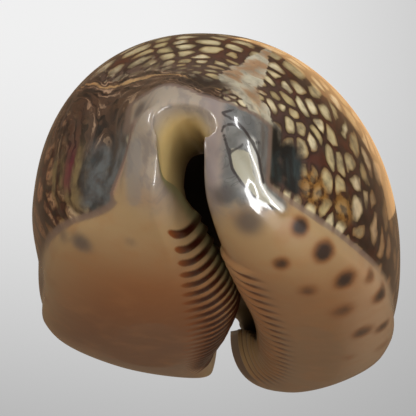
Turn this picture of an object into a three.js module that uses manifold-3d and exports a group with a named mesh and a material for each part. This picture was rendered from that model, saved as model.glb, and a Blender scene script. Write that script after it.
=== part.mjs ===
// A cowrie shell, one natural piece. Millimetres, +Z up, resting on its base at z = 0.
// The long axis lies along Y: the rear canal is at -Y, the front canal at +Y.
// The toothed outer lip is on +X, the toothed inner lip on -X, the slit runs between them.
// The wall is a band in the shape of a C, open downwards along the slit, carried along Y.

import * as THREE from 'three';
import { mergeVertices } from 'three/addons/utils/BufferGeometryUtils.js';
import Module from 'manifold-3d';

// Driving dimensions.

const HALF_LENGTH = 33;
const RIM_LENGTH = 3;

// How far the crest of a rim lies from the outer line towards the inner one: over the arch and
// the sides, on the lips of the rear canal and on those of the front canal.
const ARCH_CREST = 0.75;
const REAR_LIP_CREST = 0.85;
const FRONT_LIP_CREST = 0.1;

// Places along Y at which every outline below gives its value.
const STATIONS = [-33, -30, -26, -20, -11, 0, 11, 20, 27, 33];

// Half widths of the body at its widest, and the height at which it is widest.
const LEFT_REACH = [5.5, 7, 10.5, 16.5, 19.5, 20.5, 21.5, 19, 12.5, 6.5];
const RIGHT_REACH = [5.5, 6.5, 9.5, 14.5, 19, 21, 21, 19, 13.5, 8.5];
const LEFT_WIDEST_Z = [12, 11, 10.5, 11, 11.5, 10.5, 8.5, 8, 8, 8];
const RIGHT_WIDEST_Z = [12, 10.5, 9.5, 9, 9, 10, 9, 8, 7.5, 7];

// The back: height and sideways place of its crest, and the height of the ceiling under it.
const BACK_Z = [15.5, 18, 21.5, 27.5, 31.5, 33, 30.5, 25.5, 20.5, 15];
const BACK_X = [-1.5, -1.5, -1.5, -1, -1, -1, -1, -1, -0.5, -0.5];
const CEILING_Z = [12.9, 12.6, 12.6, 14, 25.5, 30, 27.6, 22, 15.5, 12];

// The two lobes of the base: the line on which each is lowest, and its height.
const LEFT_LOBE_X = [-4.4, -4.6, -4.5, -3.5, -4.5, -6, -7, -7, -5, -2];
const RIGHT_LOBE_X = [1.3, 2.3, 4.8, 8, 10.5, 12, 12.5, 11.5, 9, 5];
const LEFT_LOBE_Z = [8.8, 6.1, 4.5, 2.5, 0.8, -0.3, -0.3, 0.8, 2.2, 3.9];
const RIGHT_LOBE_Z = [8.8, 6.1, 4, 1.5, 0.4, -0.3, -0.3, 0.2, 1, 2.8];

// The slit: its left and right edges, and how far each lip rises from lobe to edge.
const SLIT_LEFT_X = [-4, -3.5, -2.5, -1, 1, 2.8, 1.2, -0.5, -1.2, -1.3];
const SLIT_RIGHT_X = [0.6, 0.6, 0.8, 1.9, 3.2, 5, 5.2, 4.5, 2.5, 0.3];
const LEFT_LIP_RISE = [0.8, 1.5, 3.2, 5, 5.5, 6, 5.5, 5.5, 7, 6.6];
const RIGHT_LIP_RISE = [0.8, 1.4, 2.4, 3, 3.5, 3.5, 4, 5.5, 8, 7.7];

// The fold, where the thick callus of the base ends against the back.
const LEFT_FOLD_Z = [15, 10.5, 6.2, 5.5, 5.5, 5.5, 5.5, 5.8, 7, 11];
const RIGHT_FOLD_Z = [13, 9, 6.8, 5.5, 5, 5.3, 5.5, 5.8, 7, 11];
const FOLD_LIFT = 0.7;
const FOLD_WIDTH = 1.6;

// The callus swells from this height above the lobe up to this one.
const SIDE_FROM = 0.5;
const SIDE_FULL = 3.5;

// Hollows beside the rear canal: centre, reach and depth of each.
const HOLLOWS = [
  { x: -12, y: -24.5, z: 11, reach: 5.5, depth: 2 },
  { x: 8.5, y: -27.5, z: 10.5, reach: 3.2, depth: 1.4 },
];

// Roundness of the section: 2 is an ellipse, more is fuller.
const BASE_FULLNESS = 2.3;
const BACK_FULLNESS = 2.15;
const CAVITY_FULLNESS = 2.1;

// Thickness of the wall at the sides and under the base, and depth of the lips behind the slit.
const SIDE_WALL = 3.2;
const BASE_WALL = 3.4;
const LIP_DEPTH = 5;
const LIP_CROWN = 0.8;

// Distances from each tip between which its canal opens into the cavity, the height that the wall
// of a canal rises straight from the lips, and how high in the cavity its widest part lies.
const REAR_CANAL = { from: 9, to: 20 };
const FRONT_CANAL = { from: 0, to: 9 };
const CANAL_RISE = 0.9;
const CAVITY_MID = 0.3;

// The lips of the rear canal fall back behind its arch: how far, over which stretch from the tip,
// and how far below this height they do so in full.
const REAR_SLANT = { by: 1.4, over: 9, below: 12, full: 4 };

// Height of the line that the section turns about.
const CORE_Z = 11;

// Teeth of the two lips: first and last along Y, the spacing at the rear, the spacing that it
// closes up to, and how much of the difference is left after each tooth.
const LEFT_TEETH = { first: -22.5, last: 28, rearPitch: 2.7, pitch: 1.7, closing: 0.82 };
const RIGHT_TEETH = { first: -18, last: 29, rearPitch: 2.2, pitch: 2.1, closing: 0.8 };

// A tooth: its width as a share of its spacing, its height, its depth in the wall, and the
// stretch of the lip that it covers, from 0 on the lobe to 1 at the edge of the slit.
const TOOTH_SHARE = 0.55;
const TOOTH_HEIGHT = 0.45;
const TOOTH_ROOT = 0.7;
const TOOTH_SINK = 0.2;
const TOOTH_FROM = 0.42;
const TOOTH_TO = 0.97;

// The part of half a sine wave that the height of a tooth follows from its outer to its inner end.
const TAPER_FROM = 0.12;
const TAPER_TO = 0.8;

// Steps of each part of the section, of the body along Y and of the rounded rims.
const LIP_STEPS = 4;
const BASE_STEPS = 8;
const BACK_STEPS = 9;
const BODY_STEPS = 27;
const RIM_STEPS = 3;
const TOOTH_STEPS = 4;

const QUARTER = Math.PI / 2;
const WELD_DISTANCE = 1e-4;

// Value of an outline at y: a cubic through the given points, its slope at each
// point being that from the point before to the point after.
function along(values, y) {
  const last = STATIONS.length - 1;
  let i = 0;
  while (i < last - 1 && STATIONS[i + 1] <= y) i += 1;
  const slope = (k) => {
    const a = Math.max(k - 1, 0);
    const b = Math.min(k + 1, last);
    return (values[b] - values[a]) / (STATIONS[b] - STATIONS[a]);
  };
  const span = STATIONS[i + 1] - STATIONS[i];
  const t = THREE.MathUtils.clamp((y - STATIONS[i]) / span, 0, 1);
  const fromStart = (1 + 2 * t) * (1 - t) ** 2 * values[i];
  const fromStartSlope = t * (1 - t) ** 2 * span * slope(i);
  const fromEnd = t * t * (3 - 2 * t) * values[i + 1];
  const fromEndSlope = t * t * (t - 1) * span * slope(i + 1);
  return fromStart + fromStartSlope + fromEnd + fromEndSlope;
}

// A point of a quarter of a full ellipse, by its angle from the centre.
function arcPoint(cx, cz, rx, rz, angle, fullness) {
  const c = Math.cos(angle);
  const s = Math.sin(angle);
  const r = (Math.abs(c) ** fullness + Math.abs(s) ** fullness) ** (-1 / fullness);
  return new THREE.Vector2(cx + rx * r * c, cz + rz * r * s);
}

function arc(cx, cz, rx, rz, from, to, steps, fullness) {
  const points = [];
  for (let i = 0; i <= steps; i += 1) {
    const angle = from + ((to - from) * i) / steps;
    points.push(arcPoint(cx, cz, rx, rz, angle, fullness));
  }
  return points;
}

// Joins runs of points, the last point of a run being the first of the next.
function join(runs) {
  const points = [];
  runs.forEach((run, k) => {
    points.push(...(k < runs.length - 1 ? run.slice(0, -1) : run));
  });
  return points;
}

function leftLip(y) {
  const x = along(LEFT_LOBE_X, y);
  const rise = along(LEFT_LIP_RISE, y);
  const z = along(LEFT_LOBE_Z, y) + rise;
  return { x, z, rx: along(SLIT_LEFT_X, y) - x, rz: rise };
}

function rightLip(y) {
  const x = along(RIGHT_LOBE_X, y);
  const rise = along(RIGHT_LIP_RISE, y);
  const z = along(RIGHT_LOBE_Z, y) + rise;
  return { x, z, rx: x - along(SLIT_RIGHT_X, y), rz: rise };
}

// The outer line of the section, from the left edge of the slit round to the right edge.
function outerLine(y) {
  const left = leftLip(y);
  const right = rightLip(y);
  const backX = along(BACK_X, y);
  const backZ = along(BACK_Z, y);
  const leftX = along(LEFT_REACH, y);
  const rightX = along(RIGHT_REACH, y);
  const leftZ = along(LEFT_WIDEST_Z, y);
  const rightZ = along(RIGHT_WIDEST_Z, y);
  const leftDrop = leftZ - along(LEFT_LOBE_Z, y);
  const rightDrop = rightZ - along(RIGHT_LOBE_Z, y);
  const half = 2 * QUARTER;
  return join([
    arc(left.x, left.z, left.rx, left.rz, 0, -QUARTER, LIP_STEPS, 2),
    arc(left.x, leftZ, leftX + left.x, leftDrop, -QUARTER, -half, BASE_STEPS, BASE_FULLNESS),
    arc(backX, leftZ, leftX + backX, backZ - leftZ, half, QUARTER, BACK_STEPS, BACK_FULLNESS),
    arc(backX, rightZ, rightX - backX, backZ - rightZ, QUARTER, 0, BACK_STEPS, BACK_FULLNESS),
    arc(right.x, rightZ, rightX - right.x, rightDrop, 0, -QUARTER, BASE_STEPS, BASE_FULLNESS),
    arc(right.x, right.z, right.rx, right.rz, -QUARTER, -half, LIP_STEPS, 2),
  ]);
}

// The inner line of the section: narrow in the canals, wide in the body whorl between them.
function innerLine(y) {
  const canal = y < 0 ? REAR_CANAL : FRONT_CANAL;
  const open = THREE.MathUtils.smoothstep(HALF_LENGTH - Math.abs(y), canal.from, canal.to);
  const left = leftLip(y);
  const right = rightLip(y);
  const edgeL = left.x + left.rx;
  const edgeR = right.x - right.rx;
  const ceiling = along(CEILING_Z, y);
  const canalL = left.z + CANAL_RISE;
  const canalR = right.z + CANAL_RISE;
  const floorL = THREE.MathUtils.lerp(canalL, along(LEFT_LOBE_Z, y) + BASE_WALL, open);
  const floorR = THREE.MathUtils.lerp(canalR, along(RIGHT_LOBE_Z, y) + BASE_WALL, open);
  const floor = Math.max(left.z, right.z) + CANAL_RISE;
  const midZ = floor + CAVITY_MID * (ceiling - floor);
  const midX = THREE.MathUtils.lerp((edgeL + edgeR) / 2, along(BACK_X, y), open);
  const wallL = THREE.MathUtils.lerp(-edgeL, along(LEFT_REACH, y) - SIDE_WALL, open);
  const wallR = THREE.MathUtils.lerp(edgeR, along(RIGHT_REACH, y) - SIDE_WALL, open);
  const backL = edgeL - LIP_DEPTH * open;
  const backR = edgeR + LIP_DEPTH * open;
  const half = 2 * QUARTER;
  const behindLip = (xFrom, xTo, zFrom, zTo) => {
    const points = [];
    for (let i = 0; i <= LIP_STEPS; i += 1) {
      const t = i / LIP_STEPS;
      const crown = LIP_CROWN * open * Math.sin(Math.PI * t);
      const z = THREE.MathUtils.lerp(zFrom, zTo, THREE.MathUtils.smoothstep(t, 0, 1)) + crown;
      points.push(new THREE.Vector2(THREE.MathUtils.lerp(xFrom, xTo, t), z));
    }
    return points;
  };
  return join([
    behindLip(edgeL, backL, left.z, floorL),
    arc(backL, midZ, wallL + backL, midZ - floorL, -QUARTER, -half, BASE_STEPS, CAVITY_FULLNESS),
    arc(midX, midZ, wallL + midX, ceiling - midZ, half, QUARTER, BACK_STEPS, CAVITY_FULLNESS),
    arc(midX, midZ, wallR - midX, ceiling - midZ, QUARTER, 0, BACK_STEPS, CAVITY_FULLNESS),
    arc(backR, midZ, wallR - backR, midZ - floorR, 0, -QUARTER, BASE_STEPS, CAVITY_FULLNESS),
    behindLip(backR, edgeR, floorR, right.z),
  ]);
}

// Lifts the callus below the fold and presses in the hollows, away from the lips.
function modelled(point, y) {
  const isLeft = point.x < 0;
  const foldZ = along(isLeft ? LEFT_FOLD_Z : RIGHT_FOLD_Z, y);
  const lobeZ = along(isLeft ? LEFT_LOBE_Z : RIGHT_LOBE_Z, y);
  const onSide = THREE.MathUtils.smoothstep(point.y - lobeZ, SIDE_FROM, SIDE_FULL);
  let lift = FOLD_LIFT * onSide * THREE.MathUtils.smoothstep(foldZ - point.y, 0, FOLD_WIDTH);
  HOLLOWS.forEach(({ x, y: hy, z, reach, depth }) => {
    const apart = Math.hypot(point.x - x, y - hy, point.y - z) / reach;
    lift -= depth * Math.exp(-apart * apart);
  });
  const outward = new THREE.Vector2(point.x, point.y - CORE_Z).normalize();
  return point.clone().addScaledVector(outward, lift);
}

// The outer line with its modelling, cut off level where it would pass below the ground.
function outerModelled(y) {
  const points = outerLine(y);
  const last = points.length - 1;
  return points.map((point, i) => {
    const isLip = i <= LIP_STEPS || i >= last - LIP_STEPS;
    const moved = isLip ? point : modelled(point, y);
    return new THREE.Vector2(moved.x, Math.max(moved.y, 0));
  });
}

// Where the rings stand, and how full the wall is there: none at the tips, whole past the rims.
function ringPlaces() {
  const places = [];
  for (let i = 0; i < RIM_STEPS; i += 1) {
    const angle = (QUARTER * i) / RIM_STEPS;
    places.push({ y: -HALF_LENGTH + RIM_LENGTH * (1 - Math.cos(angle)), full: Math.sin(angle) });
  }
  for (let i = 0; i <= BODY_STEPS; i += 1) {
    const reach = HALF_LENGTH - RIM_LENGTH;
    places.push({ y: THREE.MathUtils.lerp(-reach, reach, i / BODY_STEPS), full: 1 });
  }
  const front = places.slice(0, RIM_STEPS).reverse();
  return [...places, ...front.map(({ y, full }) => ({ y: -y, full }))];
}

function rimCrest(i, count, y) {
  const fromLip = Math.min(i, count - 1 - i) - LIP_STEPS;
  const lipCrest = y < 0 ? REAR_LIP_CREST : FRONT_LIP_CREST;
  const aside = THREE.MathUtils.smoothstep(fromLip, 0, BASE_STEPS);
  return THREE.MathUtils.lerp(lipCrest, ARCH_CREST, aside);
}

function slanted(y, z) {
  const nearTip = 1 - THREE.MathUtils.smoothstep(y + HALF_LENGTH, 0, REAR_SLANT.over);
  const low = THREE.MathUtils.smoothstep(REAR_SLANT.below - z, 0, REAR_SLANT.full);
  return y + REAR_SLANT.by * nearTip * low;
}

// One ring of the wall: along the outer line, then back along the inner one.
function wallRing({ y, full }) {
  const outer = outerModelled(y);
  const inner = innerLine(y);
  const along3d = (from, i) => {
    const crest = outer[i].clone().lerp(inner[i], rimCrest(i, outer.length, y));
    const point = crest.lerp(from[i], full);
    return [point.x, slanted(y, point.y), point.y];
  };
  const there = outer.map((_, i) => along3d(outer, i));
  const back = inner.map((_, i) => along3d(inner, i));
  return [...there, ...back.slice(1, -1).reverse()];
}

function buildWall() {
  const rings = ringPlaces().map(wallRing);
  const size = rings[0].length;
  const positions = rings.flat(2);
  const index = [];
  for (let r = 0; r < rings.length - 1; r += 1) {
    for (let i = 0; i < size; i += 1) {
      const a = r * size + i;
      const b = r * size + ((i + 1) % size);
      const c = a + size;
      const d = b + size;
      index.push(a, b, c, b, d, c);
    }
  }
  const geometry = new THREE.BufferGeometry();
  geometry.setAttribute('position', new THREE.Float32BufferAttribute(positions, 3));
  geometry.setIndex(index);
  return geometry;
}

// A tooth: a low ridge across the lip, from the base up to the edge of the slit.
function buildTooth({ y, gap }, lip, side) {
  const positions = [];
  const halfWidth = (TOOTH_SHARE * gap) / 2;
  for (let i = 0; i <= TOOTH_STEPS; i += 1) {
    const t = THREE.MathUtils.lerp(TOOTH_FROM, TOOTH_TO, i / TOOTH_STEPS);
    const angle = side > 0 ? -2 * QUARTER + (1 - t) * QUARTER : -(1 - t) * QUARTER;
    const foot = arcPoint(lip.x, lip.z, lip.rx, lip.rz, angle, 2);
    const out = new THREE.Vector2((foot.x - lip.x) / lip.rx ** 2, (foot.y - lip.z) / lip.rz ** 2);
    out.normalize();
    const taper = Math.sin(Math.PI * THREE.MathUtils.lerp(TAPER_FROM, TAPER_TO, i / TOOTH_STEPS));
    const top = foot.clone().addScaledVector(out, TOOTH_HEIGHT * taper);
    const root = foot.clone().addScaledVector(out, -TOOTH_ROOT);
    const flank = foot.clone().addScaledVector(out, -TOOTH_SINK);
    positions.push(top.x, y, top.y);
    positions.push(flank.x, y + halfWidth, flank.y);
    positions.push(root.x, y, root.y);
    positions.push(flank.x, y - halfWidth, flank.y);
  }
  const index = [];
  for (let r = 0; r < TOOTH_STEPS; r += 1) {
    for (let i = 0; i < 4; i += 1) {
      const a = r * 4 + i;
      const b = r * 4 + ((i + 1) % 4);
      const c = a + 4;
      const d = b + 4;
      if (side > 0) index.push(a, c, b, b, c, d);
      else index.push(a, b, c, b, d, c);
    }
  }
  const end = TOOTH_STEPS * 4;
  if (side > 0) index.push(0, 1, 3, 1, 2, 3, end, end + 3, end + 1, end + 1, end + 3, end + 2);
  else index.push(0, 3, 1, 1, 3, 2, end, end + 1, end + 3, end + 1, end + 2, end + 3);
  const geometry = new THREE.BufferGeometry();
  geometry.setAttribute('position', new THREE.Float32BufferAttribute(positions, 3));
  geometry.setIndex(index);
  return geometry;
}

// Where the teeth of a lip stand, and the room that each has.
function toothPlaces({ first, last, rearPitch, pitch, closing }) {
  const places = [];
  let gap = rearPitch;
  for (let y = first; y <= last; y += gap) {
    places.push({ y, gap });
    gap = pitch + (gap - pitch) * closing;
  }
  return places;
}

// The wall and the teeth are made into one closed body.
const wasm = await Module();
wasm.setup();

function toManifold(geometry) {
  const plain = geometry.clone();
  plain.deleteAttribute('normal');
  plain.deleteAttribute('uv');
  const merged = mergeVertices(plain, WELD_DISTANCE);
  const index = merged.index.array;
  const corners = [];
  for (let i = 0; i < index.length; i += 3) {
    const [a, b, c] = [index[i], index[i + 1], index[i + 2]];
    if (a !== b && b !== c && c !== a) corners.push(a, b, c);
  }
  return new wasm.Manifold(new wasm.Mesh({
    numProp: 3,
    vertProperties: new Float32Array(merged.attributes.position.array),
    triVerts: new Uint32Array(corners),
  }));
}

function toGeometry(manifold) {
  const mesh = manifold.getMesh();
  const geometry = new THREE.BufferGeometry();
  geometry.setAttribute('position', new THREE.BufferAttribute(mesh.vertProperties, 3));
  geometry.setIndex(new THREE.BufferAttribute(mesh.triVerts, 1));
  geometry.computeVertexNormals();
  return geometry;
}

let body = toManifold(buildWall());
toothPlaces(LEFT_TEETH).forEach((place) => {
  body = body.add(toManifold(buildTooth(place, leftLip(place.y), -1)));
});
toothPlaces(RIGHT_TEETH).forEach((place) => {
  body = body.add(toManifold(buildTooth(place, rightLip(place.y), 1)));
});

const shell = new THREE.Mesh(
  toGeometry(body),
  new THREE.MeshStandardMaterial({ color: '#a8875f', roughness: 0.22, metalness: 0 }),
);
shell.name = 'shell';

const group = new THREE.Group();
group.name = 'cowrie_shell';
group.add(shell);

export default group;
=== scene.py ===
import math

import bpy
import numpy as np
from mathutils import Matrix, Vector


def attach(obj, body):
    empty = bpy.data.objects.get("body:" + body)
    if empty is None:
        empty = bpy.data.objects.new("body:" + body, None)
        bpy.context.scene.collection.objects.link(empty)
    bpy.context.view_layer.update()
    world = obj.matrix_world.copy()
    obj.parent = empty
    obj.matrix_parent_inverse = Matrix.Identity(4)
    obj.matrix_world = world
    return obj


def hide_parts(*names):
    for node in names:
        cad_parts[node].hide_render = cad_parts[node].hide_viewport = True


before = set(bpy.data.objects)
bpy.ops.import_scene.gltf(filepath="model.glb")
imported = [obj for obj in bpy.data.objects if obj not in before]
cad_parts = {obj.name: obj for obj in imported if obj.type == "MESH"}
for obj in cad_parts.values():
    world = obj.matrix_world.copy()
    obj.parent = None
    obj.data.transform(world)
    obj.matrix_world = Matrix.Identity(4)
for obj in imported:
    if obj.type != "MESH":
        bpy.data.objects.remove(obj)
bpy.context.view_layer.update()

# The shell.
# A grown cowrie: hard glossy aragonite, laid down by the animal as one piece. The back has a clear
# glaze over a brown net; the base is a thick fawn callus folded up over the sides.

MM = 0.001
HALF_LENGTH = 33.0
RIM_LENGTH = 3.0
ARCH_CREST = 0.75
REAR_LIP_CREST = 0.85
FRONT_LIP_CREST = 0.1

# Outlines of the body along Y, in millimetres, the same as those of the CAD solid.
STATIONS = np.array([-33, -30, -26, -20, -11, 0, 11, 20, 27, 33], float)
LEFT_REACH = [5.5, 7, 10.5, 16.5, 19.5, 20.5, 21.5, 19, 12.5, 6.5]
RIGHT_REACH = [5.5, 6.5, 9.5, 14.5, 19, 21, 21, 19, 13.5, 8.5]
LEFT_WIDEST_Z = [12, 11, 10.5, 11, 11.5, 10.5, 8.5, 8, 8, 8]
RIGHT_WIDEST_Z = [12, 10.5, 9.5, 9, 9, 10, 9, 8, 7.5, 7]
BACK_Z = [15.5, 18, 21.5, 27.5, 31.5, 33, 30.5, 25.5, 20.5, 15]
BACK_X = [-1.5, -1.5, -1.5, -1, -1, -1, -1, -1, -0.5, -0.5]
CEILING_Z = [12.9, 12.6, 12.6, 14, 25.5, 30, 27.6, 22, 15.5, 12]
LEFT_LOBE_X = [-4.4, -4.6, -4.5, -3.5, -4.5, -6, -7, -7, -5, -2]
RIGHT_LOBE_X = [1.3, 2.3, 4.8, 8, 10.5, 12, 12.5, 11.5, 9, 5]
LEFT_LOBE_Z = [8.8, 6.1, 4.5, 2.5, 0.8, -0.3, -0.3, 0.8, 2.2, 3.9]
RIGHT_LOBE_Z = [8.8, 6.1, 4, 1.5, 0.4, -0.3, -0.3, 0.2, 1, 2.8]
SLIT_LEFT_X = [-4, -3.5, -2.5, -1, 1, 2.8, 1.2, -0.5, -1.2, -1.3]
SLIT_RIGHT_X = [0.6, 0.6, 0.8, 1.9, 3.2, 5, 5.2, 4.5, 2.5, 0.3]
LEFT_LIP_RISE = [0.8, 1.5, 3.2, 5, 5.5, 6, 5.5, 5.5, 7, 6.6]
RIGHT_LIP_RISE = [0.8, 1.4, 2.4, 3, 3.5, 3.5, 4, 5.5, 8, 7.7]
LEFT_FOLD_Z = [15, 10.5, 6.2, 5.5, 5.5, 5.5, 5.5, 5.8, 7, 11]
RIGHT_FOLD_Z = [13, 9, 6.8, 5.5, 5, 5.3, 5.5, 5.8, 7, 11]
FOLD_LIFT = 0.7
FOLD_WIDTH = 1.6
SIDE_FROM = 0.5
SIDE_FULL = 3.5
HOLLOWS = [(-12, -24.5, 11, 5.5, 2.0), (8.5, -27.5, 10.5, 3.2, 1.4)]
BASE_FULLNESS = 2.3
BACK_FULLNESS = 2.15
CAVITY_FULLNESS = 2.1
SIDE_WALL = 3.2
BASE_WALL = 3.4
LIP_DEPTH = 5.0
LIP_CROWN = 0.8
REAR_CANAL = (9.0, 20.0)
FRONT_CANAL = (0.0, 9.0)
CANAL_RISE = 0.9
CAVITY_MID = 0.3
REAR_SLANT, SLANT_OVER, SLANT_BELOW, SLANT_FULL = 1.4, 9.0, 12.0, 4.0
CORE_Z = 11.0

# Teeth: first and last along Y, spacing at the rear, spacing it closes up to, rate of closing.
LEFT_TEETH = (-22.5, 28.0, 2.7, 1.7, 0.82)
RIGHT_TEETH = (-18.0, 29.0, 2.2, 2.1, 0.8)
TOOTH_HEIGHT = 0.42
LEFT_SLANT, REAR_EXTRA_SLANT, SLANT_PIVOT = 1.2, 4.5, 0.35

# Mesh density: points over a lip, half the base and half the back, and rings along Y.
LIP_STEPS = 18
BASE_STEPS = 34
BACK_STEPS = 48
BODY_STEPS = 210
REAR_RIM_STEPS = 14
FRONT_RIM_STEPS = 8
BODY_SHARES = [0, 0.2, 0.34, 1]
BODY_STOPS = [-30, -22, -14, 30]
QUARTER = math.pi / 2


def smooth(x, low, high):
    """0 below low, 1 above high, and 3t^2 - 2t^3 between them."""
    t = np.clip((x - low) / (high - low), 0, 1)
    return t * t * (3 - 2 * t)


def mix(a, b, t):
    """a where t is 0 and b where t is 1, linearly between."""
    return a + (b - a) * t


def along(values, y):
    """Value of an outline at y: a cubic through the given points, whose slope at each
    point is that from the point before to the point after."""
    v = np.array(values, float)
    slope = np.empty_like(v)
    slope[1:-1] = (v[2:] - v[:-2]) / (STATIONS[2:] - STATIONS[:-2])
    slope[0] = (v[1] - v[0]) / (STATIONS[1] - STATIONS[0])
    slope[-1] = (v[-1] - v[-2]) / (STATIONS[-1] - STATIONS[-2])
    i = np.clip(np.searchsorted(STATIONS, y, side="right") - 1, 0, len(v) - 2)
    span = STATIONS[i + 1] - STATIONS[i]
    t = np.clip((y - STATIONS[i]) / span, 0, 1)
    start = (1 + 2 * t) * (1 - t) ** 2 * v[i] + t * (1 - t) ** 2 * span * slope[i]
    end = t * t * (3 - 2 * t) * v[i + 1] + t * t * (t - 1) * span * slope[i + 1]
    return start + end


def arc(cx, cz, rx, rz, start, end, steps, fullness):
    """A quarter of a full ellipse: radius (|cos|^n + |sin|^n)^(-1/n), n the fullness."""
    angle = np.linspace(start, end, steps + 1)
    c, s = np.cos(angle), np.sin(angle)
    r = (np.abs(c) ** fullness + np.abs(s) ** fullness) ** (-1 / fullness)
    return cx + rx * r * c, cz + rz * r * s


def join(runs):
    """Runs of points in a row, each sharing its last point with the next one's first."""
    x = [run[0][:, :-1] for run in runs[:-1]] + [runs[-1][0]]
    z = [run[1][:, :-1] for run in runs[:-1]] + [runs[-1][1]]
    return np.concatenate(x, 1), np.concatenate(z, 1)


def outer_line(y):
    """The outer line of each section, from the slit's left edge round to its right edge."""
    lx, rx = along(LEFT_LOBE_X, y), along(RIGHT_LOBE_X, y)
    l_rise, r_rise = along(LEFT_LIP_RISE, y), along(RIGHT_LIP_RISE, y)
    l_lobe, r_lobe = along(LEFT_LOBE_Z, y), along(RIGHT_LOBE_Z, y)
    bx, bz = along(BACK_X, y), along(BACK_Z, y)
    l_reach, r_reach = along(LEFT_REACH, y), along(RIGHT_REACH, y)
    l_wide, r_wide = along(LEFT_WIDEST_Z, y), along(RIGHT_WIDEST_Z, y)
    q, h = QUARTER, 2 * QUARTER
    x, z = join(
        [
            arc(lx, l_lobe + l_rise, along(SLIT_LEFT_X, y) - lx, l_rise, 0, -q, LIP_STEPS, 2),
            arc(lx, l_wide, l_reach + lx, l_wide - l_lobe, -q, -h, BASE_STEPS, BASE_FULLNESS),
            arc(bx, l_wide, l_reach + bx, bz - l_wide, h, q, BACK_STEPS, BACK_FULLNESS),
            arc(bx, r_wide, r_reach - bx, bz - r_wide, q, 0, BACK_STEPS, BACK_FULLNESS),
            arc(rx, r_wide, r_reach - rx, r_wide - r_lobe, 0, -q, BASE_STEPS, BASE_FULLNESS),
            arc(rx, r_lobe + r_rise, rx - along(SLIT_RIGHT_X, y), r_rise, -q, -h, LIP_STEPS, 2),
        ]
    )
    fold = np.where(x < 0, along(LEFT_FOLD_Z, y), along(RIGHT_FOLD_Z, y))
    lobe = np.where(x < 0, l_lobe, r_lobe)
    lift = FOLD_LIFT * smooth(z - lobe, SIDE_FROM, SIDE_FULL) * smooth(fold - z, 0, FOLD_WIDTH)
    for hx, hy, hz, reach, depth in HOLLOWS:
        apart = ((x - hx) ** 2 + (y - hy) ** 2 + (z - hz) ** 2) / reach**2
        lift = lift - depth * np.exp(-apart)
    lift[:, : LIP_STEPS + 1] = 0
    lift[:, -LIP_STEPS - 1 :] = 0
    away = np.hypot(x, z - CORE_Z)
    return x + lift * x / away, z + lift * (z - CORE_Z) / away


def inner_line(y):
    """The inner line: narrow in the canals, wide in the body whorl between them."""
    deep = HALF_LENGTH - np.abs(y)
    opened = np.where(y < 0, smooth(deep, *REAR_CANAL), smooth(deep, *FRONT_CANAL))
    el, er = along(SLIT_LEFT_X, y), along(SLIT_RIGHT_X, y)
    l_lobe, r_lobe = along(LEFT_LOBE_Z, y), along(RIGHT_LOBE_Z, y)
    zl, zr = l_lobe + along(LEFT_LIP_RISE, y), r_lobe + along(RIGHT_LIP_RISE, y)
    fl = mix(zl + CANAL_RISE, l_lobe + BASE_WALL, opened)
    fr = mix(zr + CANAL_RISE, r_lobe + BASE_WALL, opened)
    ceiling = along(CEILING_Z, y)
    floor = np.maximum(zl, zr) + CANAL_RISE
    mz = floor + CAVITY_MID * (ceiling - floor)
    mx = mix((el + er) / 2, along(BACK_X, y), opened)
    wl = mix(-el, along(LEFT_REACH, y) - SIDE_WALL, opened)
    wr = mix(er, along(RIGHT_REACH, y) - SIDE_WALL, opened)
    bl, br = el - LIP_DEPTH * opened, er + LIP_DEPTH * opened
    t = np.linspace(0, 1, LIP_STEPS + 1)
    crown = LIP_CROWN * opened * np.sin(math.pi * t)
    n, q, h = CAVITY_FULLNESS, QUARTER, 2 * QUARTER
    return join(
        [
            (mix(el, bl, t), mix(zl, fl, smooth(t, 0, 1)) + crown),
            arc(bl, mz, wl + bl, mz - fl, -q, -h, BASE_STEPS, n),
            arc(mx, mz, wl + mx, ceiling - mz, h, q, BACK_STEPS, n),
            arc(mx, mz, wr - mx, ceiling - mz, q, 0, BACK_STEPS, n),
            arc(br, mz, wr - br, mz - fr, 0, -q, BASE_STEPS, n),
            (mix(br, er, t), mix(fr, zr, smooth(t, 0, 1)) + crown),
        ]
    )


def ring_places():
    """Where the rings stand along Y, and how full the wall is: the sine of the rim's angle."""
    rear = np.linspace(0, QUARTER, REAR_RIM_STEPS, endpoint=False)
    front = np.linspace(QUARTER, 0, FRONT_RIM_STEPS + 1)[1:]
    body = np.interp(np.linspace(0, 1, BODY_STEPS + 1), BODY_SHARES, BODY_STOPS)
    places = [
        -HALF_LENGTH + RIM_LENGTH * (1 - np.cos(rear)),
        body,
        HALF_LENGTH - RIM_LENGTH * (1 - np.cos(front)),
    ]
    full = [np.sin(rear), np.ones(len(body)), np.sin(front)]
    return np.concatenate(places)[:, None], np.concatenate(full)[:, None]


def tooth_places(first, last, rear_pitch, pitch, closing):
    """Where the teeth of a lip stand: each gap nears the final pitch by the closing rate."""
    places, gap = [first], rear_pitch
    while places[-1] + gap <= last:
        places.append(places[-1] + gap)
        gap = pitch + (gap - pitch) * closing
    return np.array(places)


def tooth_ridge(y, places):
    """1 on a tooth and 0 midway between two: half a cosine wave over each gap, and half a gap
    beyond the first and the last."""
    at = np.interp(y, places, np.arange(len(places)))
    at = at + np.minimum(y - places[0], 0) / (places[1] - places[0])
    at = at + np.maximum(y - places[-1], 0) / (places[-1] - places[-2])
    at = np.clip(at, -0.5, len(places) - 0.5)
    return 0.5 + 0.5 * np.cos(2 * math.pi * at)


def to_line(x, y, z, points, y_weight=1.0):
    """Distance from each place to a line through the given points, that along Y counted by
    its weight."""
    p = np.stack([x, y * y_weight, z], -1)
    nearest = np.full(x.shape, 1e9)
    points = np.array(points, float) * (1, y_weight, 1)
    for a, b in zip(points[:-1], points[1:]):
        d = b - a
        t = np.clip((p - a) @ d / (d @ d), 0, 1)
        nearest = np.minimum(nearest, np.linalg.norm(p - a - t[..., None] * d, axis=-1))
    return nearest


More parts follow.
